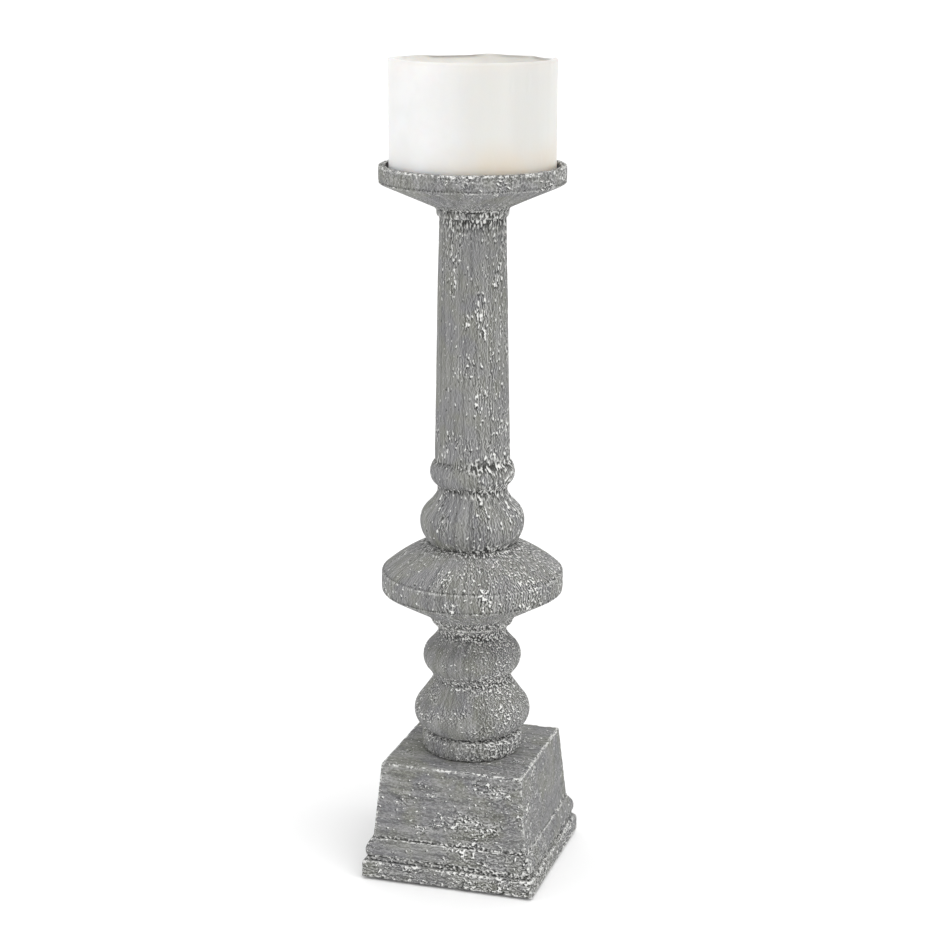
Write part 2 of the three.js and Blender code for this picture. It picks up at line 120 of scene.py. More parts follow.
class Outline:
    """A closed path of (radius, height). Points on its skin are close together, and are worn later."""

    def __init__(self, x, y, step=0.6):
        self.points = [(x, y)]
        self.skin = [False]
        self.scribed = []
        self.step = step

    def line(self, x, y, skin=False):
        x0, y0 = self.points[-1]
        count = max(1, round(math.hypot(x - x0, y - y0) / self.step)) if skin else 1
        self.curve(lambda t: (x0 + (x - x0) * t, y0 + (y - y0) * t), count, skin)

    def bend(self, cx, cy, x, y):
        """A quadratic curve on the skin, with its control point at cx, cy."""
        x0, y0 = self.points[-1]
        length = math.hypot(cx - x0, cy - y0) + math.hypot(x - cx, y - cy)

        def at(t):
            a, b, c = (1 - t) ** 2, 2 * t * (1 - t), t * t
            return a * x0 + b * cx + c * x, a * y0 + b * cy + c * y

        self.curve(at, max(3, round(length / self.step)), True)

    def arc(self, cx, cy, radius, start, end, depth=None):
        """An arc on the skin, between angles in radians from level. depth is its upright radius."""
        depth = depth or radius

        def at(t):
            a = start + (end - start) * t
            return cx + radius * math.cos(a), cy + depth * math.sin(a)

        if math.dist(at(0), self.points[-1]) > self.step / 4:
            self.line(*at(0), skin=self.skin[-1])
        self.curve(at, max(3, round(abs(end - start) * max(radius, depth) / self.step)), True)

    def curve(self, at, count, skin):
        for i in range(1, count + 1):
            self.points.append(at(i / count))
            self.skin.append(skin)

    def round_and_hollow(self, cx, cy, radius, foot, flank, waist_x, waist_y, depth=None):
        """A round entered at angle foot and left at angle flank, then a hollow in to the next waist."""
        self.arc(cx, cy, radius, -foot, 0, depth)
        self.arc(cx, cy, radius, 0, flank)
        x, y = self.points[-1]
        self.bend(waist_x, y + (x - waist_x) / math.tan(flank), waist_x, waist_y)

    def scribe(self):
        """Marks the last point, where the turner's tool has left a fine groove that dirt fills."""
        self.scribed.append(len(self.points) - 1)

    def from_tenon(self, radius, length):
        self.points[0] = (ROD_BORE, -length)
        self.line(radius, -length)
        self.line(radius, 0)

    def into_socket(self, height):
        depth = TENON["length"] + SLIP
        self.line(TENON["radius"] + SLIP, height)
        self.line(TENON["radius"] + SLIP, height - depth)
        self.line(ROD_BORE, height - depth)
        self.close()

    def close(self):
        """Drops a last point that repeats the first."""
        if math.dist(self.points[0], self.points[-1]) < self.step / 4:
            self.points.pop()
            self.skin.pop()

    def measure(self):
        """Points, outward normals, distance along, and four measures for weather().

        They are the skin's weight, the turn per millimetre, the distance to a nook, which is a seam where
        the skin ends against the next piece or an inner corner, and the distance to a scribed groove.
        """
        p = np.array(self.points, float)
        ahead, behind = np.roll(p, -1, 0), np.roll(p, 1, 0)
        tangent = ahead - behind
        tangent /= np.maximum(np.linalg.norm(tangent, axis=1, keepdims=True), 1e-9)
        normal = np.stack([tangent[:, 1], -tangent[:, 0]], 1)
        along = np.concatenate([[0], np.cumsum(np.linalg.norm(np.diff(p, axis=0), axis=1))])
        skin = np.array(self.skin, float)
        skin = np.minimum(skin, np.minimum(np.roll(skin, -1), np.roll(skin, 1)))
        into, out = p - behind, ahead - p
        turn = into[:, 0] * out[:, 1] - into[:, 1] * out[:, 0]
        turn /= np.maximum(np.linalg.norm(into, axis=1) * np.linalg.norm(out, axis=1), 1e-9)
        turn = np.arcsin(np.clip(turn, -1, 1)) * (skin > 0)
        for _ in range(3):
            turn = (np.roll(turn, -1) + 2 * turn + np.roll(turn, 1)) / 4
        turn /= self.step
        seam = np.abs(along[:, None] - along[skin == 0][None, :]).min(1)
        nook = np.abs(along[:, None] - along[(skin == 0) | (turn < -0.12)][None, :]).min(1)
        far = along[-1]
        scribed = np.abs(along[:, None] - np.append(along[self.scribed], 2 * far)[None, :]).min(1)
        return p, normal, along, (skin * ramp(seam, 0, 1.2), turn, nook, scribed)


# ------------------------------------------------------------------------------------------ meshes


def circle_points(count):
    """Angles round from +X, and the points of a unit circle at those angles."""
    angle = np.linspace(0, 2 * math.pi, count, endpoint=False)
    return angle, np.stack([np.cos(angle), np.sin(angle)], -1)


def swept(path, circle):
    """Rings of points: each (radius, height) of the path, carried round the circle."""
    place = np.empty((len(path), len(circle), 3))
    place[..., :2] = circle * path[:, :1, None]
    place[..., 2] = path[:, 1:]
    return place


def grid_mesh(name, points):
    """A closed mesh from points[ring][place round]: each ring joins the next, and the last the first."""
    rings, count = points.shape[:2]
    j = np.arange(rings)[:, None]
    i = np.arange(count)[None, :]
    k, n = (j + 1) % rings, (i + 1) % count
    quads = np.stack([j * count + i, j * count + n, k * count + n, k * count + i], -1)
    mesh = bpy.data.meshes.new(name)
    mesh.vertices.add(rings * count)
    mesh.vertices.foreach_set("co", points.reshape(-1).astype(np.float32))
    mesh.loops.add(quads.size)
    mesh.loops.foreach_set("vertex_index", quads.reshape(-1).astype(np.int32))
    mesh.polygons.add(rings * count)
    mesh.polygons.foreach_set("loop_start", np.arange(0, quads.size, 4, dtype=np.int32))
    mesh.polygons.foreach_set("use_smooth", np.ones(rings * count, bool))
    mesh.update(calc_edges=True)
    mesh.validate()
    thing = bpy.data.objects.new(name, mesh)
    bpy.context.scene.collection.objects.link(thing)
    return thing


def capped(name, points):
    """A closed mesh from rings, whose first and last rings have shrunk to a point."""
    mesh = bpy.data.meshes.new(name)
    rings, count = points.shape[0] - 2, points.shape[1]
    verts = np.concatenate([points[:1, 0], points[1:-1].reshape(-1, 3), points[-1:, 0]])
    faces = []
    for i in range(count):
        n = (i + 1) % count
        faces.append((0, 1 + n, 1 + i))
        for j in range(rings - 1):
            a = 1 + j * count
            faces.append((a + i, a + n, a + count + n, a + count + i))
        a = 1 + (rings - 1) * count
        faces.append((a + i, a + n, 1 + rings * count))
    mesh.from_pydata(verts.tolist(), [], faces)
    mesh.polygons.foreach_set("use_smooth", np.ones(len(faces), bool))
    thing = bpy.data.objects.new(name, mesh)
    bpy.context.scene.collection.objects.link(thing)
    return thing


def keep(thing, **layers):
    """Stores numbers or vectors for the mesh's vertices, which the material reads by name."""
    for name, values in layers.items():
        vector = values.ndim == 3 and values.shape[-1] == 3
        layer = thing.data.attributes.new(name, "FLOAT_VECTOR" if vector else "FLOAT", "POINT")
        layer.data.foreach_set("vector" if vector else "value", values.reshape(-1).astype(np.float32))


CUT = {"groove": 0.12, "gouge": 0.36, "eased_edge": 0.06, "chip": 0.4, "scribe": 0.35}  # depths, in mm


def weather(grain, place, measures, side, seed, wobble, wash, scarring, reach):
    """How far in the skin is worn, in millimetres, and what that leaves for the material to show.

    grain is each point's place in millimetres along the wood's grain, already shortened the long way,
    and place is its real place. measures are the outline's four, spread round the piece: its turn is
    positive on a round edge, and wash and grime gather over the given reach from a nook.
    wash raises or lowers the lime wash on the whole piece, and side is 1 where it has kept more.
    """
    skin, turn, nook, scribed = measures
    streaks = noise(grain, 1.4, seed)
    scars = noise(grain, 2.1, seed + 10)
    clusters = noise(grain, (7, 7, 5.5), seed + 20)
    zones = noise(place, (30, 30, 36), seed + 25)
    waves = noise(place, (24, 24, 30), seed + 30)
    chips = noise(place, 2.0, seed + 40)
    scribe = np.exp(-((scribed / 0.55) ** 2))
    edge = ramp(turn, 0.08, 0.5) * (1 - np.exp(-((scribed / 1.8) ** 2)))
    gathered = np.exp(-nook / reach)
    worn = wash + 0.38 * side + 0.5 * (zones - 0.5) + 0.5 * ramp(clusters, 0.52, 0.72)
    worn = np.clip(worn + 0.4 * edge * ramp(chips, 0.3, 0.6) + 0.6 * gathered, 0, 1)
    grooves = ramp(streaks, 0.5, 0.75)
    gouges = ramp(scars, 0.58, 0.76) * ramp(worn, 0.15, 0.7) * scarring
    depth = CUT["groove"] * grooves + CUT["gouge"] * gouges + wobble * waves
    depth = depth + edge * (CUT["eased_edge"] + CUT["chip"] * ramp(chips, 0.5, 0.75))
    depth = depth + CUT["scribe"] * scribe
    return skin * depth, {
        "lime": worn,
        "groove": skin * np.clip(0.6 * grooves + gouges, 0, 1),
        # Painted shade close to the seams and inner corners, patchy, and dirt in the scribed grooves.
        "seam_shade_and_scribe_dirt": np.maximum(np.exp(-nook / (0.35 * reach)) * ramp(chips, 0.15, 0.45), scribe),
        "gathered": gathered * ramp(zones + 0.5 * side, 0.22, 0.8),
        "edge": skin * edge * ramp(chips, 0.35, 0.6),
    }


def turned(name, outline, foot, seed, points, fineness, stretch, wobble, wash, scarring, reach):
    """A wooden piece turned on the stem's axis, its foot at height foot in metres."""
    p, normal, along, measures = outline.measure()
    angle, circle = circle_points(points)
    middle = np.median(p[measures[0] > 0, 0])
    grain = np.empty((len(p), points, 3))
    grain[..., :2] = circle * middle
    grain[..., 2] = along[:, None] / stretch
    grain *= fineness
    place = swept(p, circle)
    measures = [measure[:, None] * np.ones((1, points)) for measure in measures]
    side = ramp(np.cos(angle - WORN_SIDE), -0.1, 0.9)
    depth, layers = weather(grain, place, measures, side, seed, wobble, wash, scarring, reach)
    place[..., :2] -= circle * (normal[:, :1] * depth)[..., None]
    place[..., 2] -= normal[:, 1:] * depth
    place *= MM
    place[..., 2] += foot
    thing = grid_mesh(name, place)
    keep(thing, grain=grain * MM, **layers)
    return thing


def square_ring(count):
    """Points round a square of half width 1, the way out of each one's side, and its place on it."""
    t = np.arange(count) / count * 4
    side = np.floor(t).astype(int)
    u = (t - side) * 2 - 1
    u = np.sign(u) * (1 - (1 - np.abs(u)) ** 1.2)  # a little closer together towards the corners
    right = np.array([[1, 0], [0, 1], [-1, 0], [0, -1]])[side]
    out = np.array([[0, -1], [1, 0], [0, 1], [-1, 0]])[side]
    return right * u[:, None] + out, out, u


def squared(name, outline, foot, seed, hole, wash, scarring):
    """A wooden piece of the plinth, with its grain along X. The outline's radii are half widths.

    hole is the half width at which the rings have turned from squares into circles.
    """
    count, stretch, wobble, reach = 640, 2.2, 0.35, 1.0
    rounded = 2.0  # how far in from an upright corner its rounding begins
    p, normal, along, measures = outline.measure()
    ring, out, u = square_ring(count)
    circle = ring / np.linalg.norm(ring, axis=1, keepdims=True)
    square = ramp(p[:, 0], hole, hole * 2.2)[:, None, None]
    place = np.empty((len(p), count, 3))
    place[..., :2] = p[:, :1, None] * (square * ring + (1 - square) * circle)
    place[..., 2] = p[:, 1:]
    place[..., 2] += foot / MM
    slant = (place[..., 1] + place[..., 2]) / math.sqrt(2)
    across = (place[..., 2] - place[..., 1]) / math.sqrt(2)
    grain = np.stack([slant / 1.9, across, place[..., 0] / stretch], -1)
    corner = ramp(np.abs(u), 1 - rounded / p[:, 0].max(), 1)[None] * np.abs(normal[:, :1]) * square[..., 0]
    skin, turn, nook, scribed = (measure[:, None] * np.ones((1, count)) for measure in measures)
    turn = np.maximum(turn, corner) + np.minimum(turn, 0)
    side = ramp(np.cos(np.arctan2(ring[:, 1], ring[:, 0]) - WORN_CORNER), 0.7, 0.99)
    measures = (skin, turn, nook, scribed)
    depth, layers = weather(grain, place, measures, side, seed, wobble, wash, scarring, reach)
    inwards = (normal[:, :1] * depth)[..., None] * out
    eased = (0.4 * corner * skin)[..., None] * np.sign(ring) / math.sqrt(2)
    place[..., :2] -= (inwards + eased) * square
    place[..., 2] -= normal[:, 1:] * depth
    thing = grid_mesh(name, place * MM)
    keep(thing, grain=grain * MM, **layers)
    return thing


def show_as(thing, node, body, material):
    """thing stands for a CAD node, moves with its body and takes the given material."""
    thing.data.materials.append(material)
    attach(thing, body)
    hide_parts(node)


# --------------------------------------------------------------------------------------- materials


class Nodes:
    """Short names for the shader nodes that the materials below are made of."""

    def __init__(self, name):
        self.material = bpy.data.materials.new(name)
        self.material.use_nodes = True
        self.tree = self.material.node_tree
        self.shader = self.tree.nodes["Principled BSDF"]

    def put(self, socket, value):
        if isinstance(value, bpy.types.NodeSocket):
            self.tree.links.new(value, socket)
        elif isinstance(value, tuple) and socket.type == "RGBA":
            socket.default_value = (*value, 1)
        else:
            socket.default_value = value

    def set(self, **inputs):
        """Sets the shader's own sockets, named with _ for a space."""
        for key, value in inputs.items():
            self.put(self.shader.inputs[key.replace("_", " ")], value)

    def add(self, kind, **inputs):
        node = self.tree.nodes.new(kind)
        for key, value in inputs.items():
            self.put(node.inputs[key.replace("_", " ")], value)
        return node

    def kept(self, name, output="Fac"):
        node = self.tree.nodes.new("ShaderNodeAttribute")
        node.attribute_name = name
        return node.outputs[output]

    def place(self):
        return self.tree.nodes.new("ShaderNodeTexCoord").outputs["Object"]

    def scaled(self, vector, scale):
        return self.add("ShaderNodeMapping", Vector=vector, Scale=scale).outputs["Vector"]

    def noise(self, vector, scale, detail=2.0, roughness=0.5):
        node = self.add("ShaderNodeTexNoise", Vector=vector, Scale=scale, Detail=detail, Roughness=roughness)
        return node.outputs["Fac"]

    def ramp(self, value, low, high, bottom=0.0, top=1.0):
        node = self.tree.nodes.new("ShaderNodeMapRange")
        node.interpolation_type = "SMOOTHSTEP"
        for socket, number in zip(node.inputs, (value, low, high, bottom, top)):
            self.put(socket, number)
        return node.outputs["Result"]

    def math(self, operation, a, b=0.0):
        node = self.tree.nodes.new("ShaderNodeMath")
        node.operation = operation
        self.put(node.inputs[0], a)
        self.put(node.inputs[1], b)
        return node.outputs["Value"]

    def vector(self, operation, a, b=(0, 0, 0)):
        node = self.tree.nodes.new("ShaderNodeVectorMath")
        node.operation = operation
        self.put(node.inputs[0], a)
        self.put(node.inputs[1], b)
        return node.outputs["Vector"]

    def mix(self, factor, a, b):
        node = self.tree.nodes.new("ShaderNodeMix")
        node.data_type = "RGBA"
        for socket, value in ((node.inputs[0], factor), (node.inputs[6], a), (node.inputs[7], b)):
            self.put(socket, value)
        return node.outputs[2]

    def bump(self, height, distance):
        return self.add("ShaderNodeBump", Height=height, Distance=distance).outputs["Normal"]


# Dark for grime in grooves and nooks, and for painted shade beside the strokes and flecks and along the
# seams.
GRIME_AND_SHADE = (0.03, 0.03, 0.028)
LIME = (0.84, 0.84, 0.82)


def grey_wood():
    """Grey-washed wood: cool and olive greys under lime wash that a wire brush has left in small strokes.

    Each stroke is drawn light on one side and dark on the other, a painted highlight and painted shade as if
    its raised surface were lit from beside, and each white fleck has a painted shadow beside it. The
    contrast is strongest in the nooks, where wash and grime gathered, and painted shade darkens the seams
    and inner corners.
    """
    n = Nodes("grey_wood")
    grain = n.kept("grain", "Vector")
    # The strokes minus a copy shifted beside them: painted highlight on one side of each stroke, painted
    # shade on the other.
    beside = n.vector("NORMALIZE", n.vector("CROSS_PRODUCT", grain, (0, 0, 1)))
    shifted = n.vector("ADD", grain, n.vector("MULTIPLY", beside, (0.00045, 0.00045, 0.00045)))
    strokes = n.noise(grain, 1200.0, 2.0, 0.65)
    emboss_light_and_shade = n.math("SUBTRACT", strokes, n.noise(shifted, 1200.0, 2.0, 0.65))
    short = n.scaled(grain, (1, 1, 1.5))
    flecks = n.noise(short, 740.0, 1.0, 0.5)
    # A copy of the flecks shifted a little, for the painted shadow beside each white fleck.
    fleck_painted_shadow = n.noise(n.vector("ADD", short, (0.0003, 0.0003, 0.0006)), 740.0, 1.0, 0.5)
    fibres = n.noise(n.scaled(grain, (1, 1, 0.3)), 1500.0, 2.0, 0.6)
    smears = n.noise(n.scaled(grain, (1, 1, 0.5)), 150.0, 2.0, 0.6)
    streaks = n.noise(n.scaled(grain, (1, 1, 0.11)), 480.0, 1.0, 0.5)
    hue = n.noise(n.place(), 48.0, 2.0, 0.6)
    base = n.mix(n.ramp(hue, 0.42, 0.6), (0.188, 0.188, 0.199), (0.204, 0.207, 0.178))
    base = n.mix(n.ramp(smears, 0.35, 0.7, 0.0, 0.75), base, (0.285, 0.286, 0.278))
    base = n.mix(n.ramp(streaks, 0.52, 0.68, 0.0, 0.55), base, (0.33, 0.33, 0.325))
    base = n.mix(n.ramp(streaks, 0.48, 0.32, 0.0, 0.55), base, (0.11, 0.11, 0.106))
    base = n.mix(n.ramp(fibres, 0.5, 0.72, 0.0, 0.35), base, (0.11, 0.11, 0.105))
    base = n.mix(n.math("MULTIPLY", n.kept("groove"), 0.3), base, (0.1, 0.1, 0.096))
    lime = n.kept("lime")
    amount = n.ramp(lime, 0.0, 0.9, 0.26, 0.95)
    # Painted highlight and painted shade: each stroke lighter on one side and darker on the other, stronger
    # where there is more lime.
    base = n.mix(n.math("MULTIPLY", n.ramp(emboss_light_and_shade, 0.01, 0.12), amount), base, (0.52, 0.52, 0.51))
    base = n.mix(n.math("MULTIPLY", n.ramp(emboss_light_and_shade, -0.01, -0.12), amount), base, GRIME_AND_SHADE)
    # Painted shade at the seams and inner corners, and dirt in the scribed grooves.
    grime = n.math("MULTIPLY", n.kept("seam_shade_and_scribe_dirt"), n.ramp(strokes, 0.42, 0.54, 0.95, 0.25))
    base = n.mix(grime, base, GRIME_AND_SHADE)
    dashes = n.mix(n.ramp(flecks, 0.49, 0.55), GRIME_AND_SHADE, (0.74, 0.74, 0.72))
    base = n.mix(n.math("MULTIPLY", n.kept("gathered"), 0.8), base, dashes)
    least = n.ramp(lime, 0.0, 1.0, 0.715, 0.59)
    white = n.ramp(n.math("SUBTRACT", flecks, least), -0.01, 0.025)
    # Painted shadow: the shifted copy darkens the wood beside each white fleck.
    dark = n.ramp(n.math("SUBTRACT", fleck_painted_shadow, least), -0.01, 0.025)
    white = n.math("MAXIMUM", white, n.math("MULTIPLY", n.kept("edge"), n.ramp(strokes, 0.42, 0.52)))
    base = n.mix(n.math("MULTIPLY", dark, 0.85), base, GRIME_AND_SHADE)
    colour = n.mix(n.math("MULTIPLY", white, 0.95), base, LIME)
    height = n.math("ADD", n.math("MULTIPLY", fibres, -0.3), n.math("MULTIPLY", white, 0.4))
    height = n.math("ADD", height, strokes)
    n.set(
        Base_Color=colour,
        Roughness=n.ramp(fibres, 0.3, 0.7, 0.72, 0.9),
        Specular_IOR_Level=0.25,
        Normal=n.bump(height, 0.0005),
    )
    return n.material


def candle_wax():
    """Ivory paraffin: a whiter front left side that is painted light, soft upright bands, warmer and darker
    near the foot from a tint and painted shade and glow, and a dark line on the rim.
    """
    n = Nodes("candle_wax")
    bands = n.noise(n.scaled(n.place(), (1, 1, 0.08)), 42.0, 2.0, 0.5)
    cloud = n.noise(n.place(), 60.0, 3.0, 0.55)
    wax = n.mix(n.ramp(bands, 0.35, 0.65), (0.69, 0.688, 0.658), (0.645, 0.642, 0.618))
    # Warmer and darker low down: partly a real tint, partly painted shade under the dish's rim and a painted
    # warm glow.
    warm_glow_and_shade = n.math("MULTIPLY", n.kept("low"), n.ramp(cloud, 0.3, 0.6, 0.5, 1.0))
    wax = n.mix(warm_glow_and_shade, wax, (0.68, 0.615, 0.52))
    # Painted light: the candle's front left side is drawn whiter, as a haze on the wax.
    painted_light_side = n.math("MULTIPLY", n.kept("painted_light_bloom"), n.ramp(cloud, 0.3, 0.7, 0.75, 1.0))
    wax = n.mix(painted_light_side, wax, (0.79, 0.79, 0.788))
    # The dark line along the rim's inner top edge.
    wax = n.mix(n.kept("rim_dark_line"), wax, (0.3, 0.29, 0.27))
    fine = n.noise(n.place(), 900.0, 2.0)
    n.set(
        Base_Color=wax,
        Roughness=n.ramp(cloud, 0.3, 0.7, 0.38, 0.55),
        Subsurface_Weight=0.35,
        Subsurface_Radius=(0.006, 0.004, 0.0025),
        Subsurface_Scale=1.0,
        Specular_IOR_Level=0.35,
        Normal=n.bump(n.math("ADD", n.math("MULTIPLY", cloud, 3.0), fine), 0.00005),
    )
    return n.material


def black_iron():
    """Blackened sheet iron, with a mottled oxide skin and a few brighter rubbed spots."""
    n = Nodes("black_iron")
    mottle = n.noise(n.place(), 160.0, 4.0, 0.6)
    rubbed = n.noise(n.place(), 420.0, 3.0, 0.6)
    colour = n.mix(n.ramp(mottle, 0.35, 0.65), (0.032, 0.032, 0.034), (0.06, 0.057, 0.054))
    colour = n.mix(n.ramp(rubbed, 0.62, 0.72, 0.0, 0.6), colour, (0.2, 0.195, 0.19))
    n.set(
        Base_Color=colour,
        Metallic=0.85,
        Roughness=n.ramp(mottle, 0.3, 0.7, 0.42, 0.62),
        Normal=n.bump(n.math("ADD", mottle, n.math("MULTIPLY", rubbed, 0.3)), 0.00012),
    )
    return n.material


def zinc_steel():
    """Zinc-plated steel, with faint spangle and drawing lines along the stem's axis."""
    n = Nodes("zinc_steel")
    spangle = n.noise(n.place(), 700.0, 2.0, 0.5)
    lines = n.noise(n.scaled(n.place(), (1, 1, 0.06)), 2600.0, 2.0, 0.5)
    colour = n.mix(n.ramp(spangle, 0.35, 0.65), (0.5, 0.51, 0.53), (0.64, 0.645, 0.66))
    n.set(
        Base_Color=colour,
        Metallic=1.0,
        Roughness=n.ramp(lines, 0.3, 0.7, 0.26, 0.42),
        Normal=n.bump(lines, 0.00003),
    )
    return n.material


def felt():
    """Dense black felt, matted from short fibres that lie every way."""
    n = Nodes("felt")
    one_way = n.noise(n.scaled(n.place(), (1, 0.18, 1)), 2600.0, 2.0, 0.6)
    other_way = n.noise(n.scaled(n.place(), (0.18, 1, 1)), 2600.0, 2.0, 0.6)
    fibres = n.math("MAXIMUM", one_way, other_way)
    lint = n.ramp(n.noise(n.place(), 900.0, 2.0), 0.66, 0.72, 0.0, 0.5)
    colour = n.mix(n.ramp(fibres, 0.45, 0.7), (0.012, 0.012, 0.013), (0.05, 0.05, 0.053))
    colour = n.mix(lint, colour, (0.12, 0.12, 0.12))
    n.set(
        Base_Color=colour,
        Roughness=0.95,
        Sheen_Weight=0.5,
        Sheen_Roughness=0.5,
        Specular_IOR_Level=0.1,
        Normal=n.bump(fibres, 0.0004),
    )
    return n.material


# -------------------------------------------------------------------------------- the wooden stem


def foot_ring():
    radius, height, hole = 32.3, RING_HEIGHT, PLINTH_TENON["radius"] + SLIP
    o = Outline(hole, 0)
    o.line(radius - 2.6, 0)
    o.bend(radius, 0, radius, 5.4)
    o.arc(radius - 4.5, height - 4.5, 4.5, 0, math.pi / 2)
    o.line(hole, height)
    o.line(hole, 0)
    o.close()
    return o


def lower_baluster():
    o = Outline(0, 0)
    o.from_tenon(PLINTH_TENON["radius"], LONG_TENON)
    o.round_and_hollow(24.2, 12.3, 13, math.asin(12.3 / 13), math.radians(37), 24.8, 35)
    o.round_and_hollow(19.5, 48.7, 12, math.radians(50), math.radians(45), 22, 65.7)
    o.bend(22, 68.6, 26, 71.5)
    o.line(26, 74.5, skin=True)
    o.into_socket(74.5)
    return o


def knop_disc():
    o = Outline(0, 0)
    o.from_tenon(TENON["radius"], TENON["length"])
    o.line(27, 0)
    o.bend(28.4, 2.3, 32.5, 4.6)
    o.line(56.3, 18, skin=True)
    o.bend(57.5, 18.6, 57.5, 19.8)
    o.scribe()
    o.line(57.5, 30.3, skin=True)
    o.bend(57.5, 31.5, 56.3, 32.1)
    o.scribe()
    o.bend(45.65, 41.4, 29, 49)
    o.into_socket(49)
    return o


def upper_column():
    o = Outline(0, 0, step=0.85)
    o.from_tenon(TENON["radius"], TENON["length"])
    o.round_and_hollow(19.2, 14.5, 14, math.asin(14.5 / 17), math.radians(45), 22.2, 34.2, depth=17)
    o.arc(16.9, 46.2, 10, -math.acos(0.53), math.acos(0.68))
    o.bend(22.75, 126, 20.8, 205.8)
    o.bend(22.6, 205.8, 22.6, 208.4)
    o.line(22.6, 211, skin=True)
    o.into_socket(211)
    return o


def candle_dish():
    outer, recess, height, floor = 57.3, 52.8, 26.5, 22.5
    o = Outline(0, 0, step=0.5)
    o.from_tenon(TENON["radius"], TENON["length"])
    o.line(22.9, 0)
    o.line(22.9, 0.4, skin=True)
    o.line(outer - 1.2, 15, skin=True)
    o.bend(outer, 15.6, outer, 16.8)
    o.scribe()
    o.arc(outer - 1.2, height - 1.2, 1.2, 0, math.pi / 2)
    o.line(recess + 0.5, height, skin=True)
    o.line(recess, height - 0.5, skin=True)
    o.line(recess, floor, skin=True)
    o.line(SLEEVE["bore"], floor)
    o.line(SLEEVE["bore"], floor - SLEEVE["length"])
    o.line(ROD_BORE, floor - SLEEVE["length"])
    o.close()
    return o


# ------------------------------------------------------------------------------------- the plinth


def plinth_slab():
    half, height = 56.5, 11
    o = Outline(13, 0, step=0.45)
    o.line(half - 0.5, 0)
    o.line(half, 0.5, skin=True)
    o.line(half, height - 1, skin=True)
    o.line(half - 1, height, skin=True)
    o.line(50, height, skin=True)
    o.line(13, height)
    return o


def plinth_moulding():
    half, height = 54.7, 14.6
    o = Outline(ROD_BORE, 0, step=0.45)
    o.line(half - 1, 0)
    o.line(half - 1, 3, skin=True)
    o.bend(half, 3, half, 6.5)
    o.bend(half, 10.5, half - 3.8, height)
    o.line(47, height, skin=True)
    o.line(ROD_BORE, height)
    return o


def plinth_block():
    half, height, edge = 50.6, 49.3, 0.9
    o = Outline(ROD_BORE, 0, step=0.5)
    o.line(half, 0)
    o.line(half - 4.4, height - edge, skin=True)
    o.line(half - 4.4 - edge, height, skin=True)
    o.line(PLINTH_TENON["radius"] + 8, height, skin=True)
    o.line(PLINTH_TENON["radius"] + SLIP, height)
    o.line(PLINTH_TENON["radius"] + SLIP, height - PLINTH_TENON["length"] - SLIP)
    o.line(ROD_BORE, height - PLINTH_TENON["length"] - SLIP)
    return o


def shoulder(node, tenon):
    """The height, in metres, of a turned piece's shoulder: its box's foot plus its tenon."""
    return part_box(node)[0].z + tenon * MM


def screw_drills():
    """Four upright drills: a countersink in the slab's foot, and a bore from there up into the block."""
    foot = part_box("plinth_slab")[0].z / MM
    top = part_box("plinth_block")[0].z / MM + SCREW_HOLE["pilot"]
    radius, head = SCREW_HOLE["radius"], SCREW_HOLE["head"]
    path = [(0, foot - 1), (head, foot - 1), (head, foot), (radius, foot + SCREW_HOLE["sink"])]
    path += [(radius, top - radius), (0, top)]
    rings = swept(np.array(path), circle_points(48)[1])
    place = SCREW_HOLE["place"]
    corners = [(x, y, 0) for x in (-place, place) for y in (-place, place)]
    return [capped("screw_drill", (rings + corner) * MM) for corner in corners]


def drilled(thing, drills):
    """Cuts the drills' shapes out of a mesh. What weather() left on it stays."""
    for drill in drills:
        cut = thing.modifiers.new("hole", "BOOLEAN")
        cut.operation = "DIFFERENCE"
        cut.solver = "MANIFOLD"
        cut.object = drill
    whole = thing.data
    thing.data = bpy.data.meshes.new_from_object(thing.evaluated_get(bpy.context.evaluated_depsgraph_get()))
    thing.modifiers.clear()
    thing.data.materials.clear()
    bpy.data.meshes.remove(whole)
    return thing


WOOD = grey_wood()

PLINTH = {  # outline, half width of the hole, seed, wash, scarring
    "plinth_slab": (plinth_slab, 13, 1100, 0.38, 2.0),
    "plinth_moulding": (plinth_moulding, ROD_BORE, 1200, -0.06, 0.5),
    "plinth_block": (plinth_block, PLINTH_TENON["radius"] + SLIP, 1300, -0.04, 0.6),
}
DRILLS = screw_drills()
for node, (shape, hole, seed, wash, scarring) in PLINTH.items():
    thing = squared("wood_" + node, shape(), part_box(node)[0].z, seed, hole, wash, scarring)
    show_as(drilled(thing, DRILLS), node, "stand", WOOD)
for drill in DRILLS:
    bpy.data.objects.remove(drill)

STEM = {  # outline, tenon, places round, the grain's fineness and stretch, wobble, wash, scarring, reach
    "foot_ring": (foot_ring, 0, 400, 0.7, 1.2, 0.35, 0.16, 1.2, 5),
    "lower_baluster": (lower_baluster, LONG_TENON, 420, 0.86, 1.2, 0.5, 0.1, 1.0, 3),
    "knop_disc": (knop_disc, TENON["length"], 600, 1.0, 2.4, 0.4, 0.2, 0.7, 5),
    "upper_column": (upper_column, TENON["length"], 330, 1.0, 3.4, 0.7, 0.04, 0.8, 4),
    "candle_dish": (candle_dish, TENON["length"], 560, 0.8, 1.3, 0.4, -0.26, 1.2, 9),
}
for index, (node, (shape, tenon, *rest)) in enumerate(STEM.items()):
    thing = turned("wood_" + node, shape(), shoulder(node, tenon), 2100 + index * 100, *rest)
    show_as(thing, node, "stand", WOOD)


# -------------------------------------------------------------------------- the candle and its wick


CANDLE = {"radius": 51, "height": 66.4, "pool": 55.4, "wall": 4, "rim": 1.5}


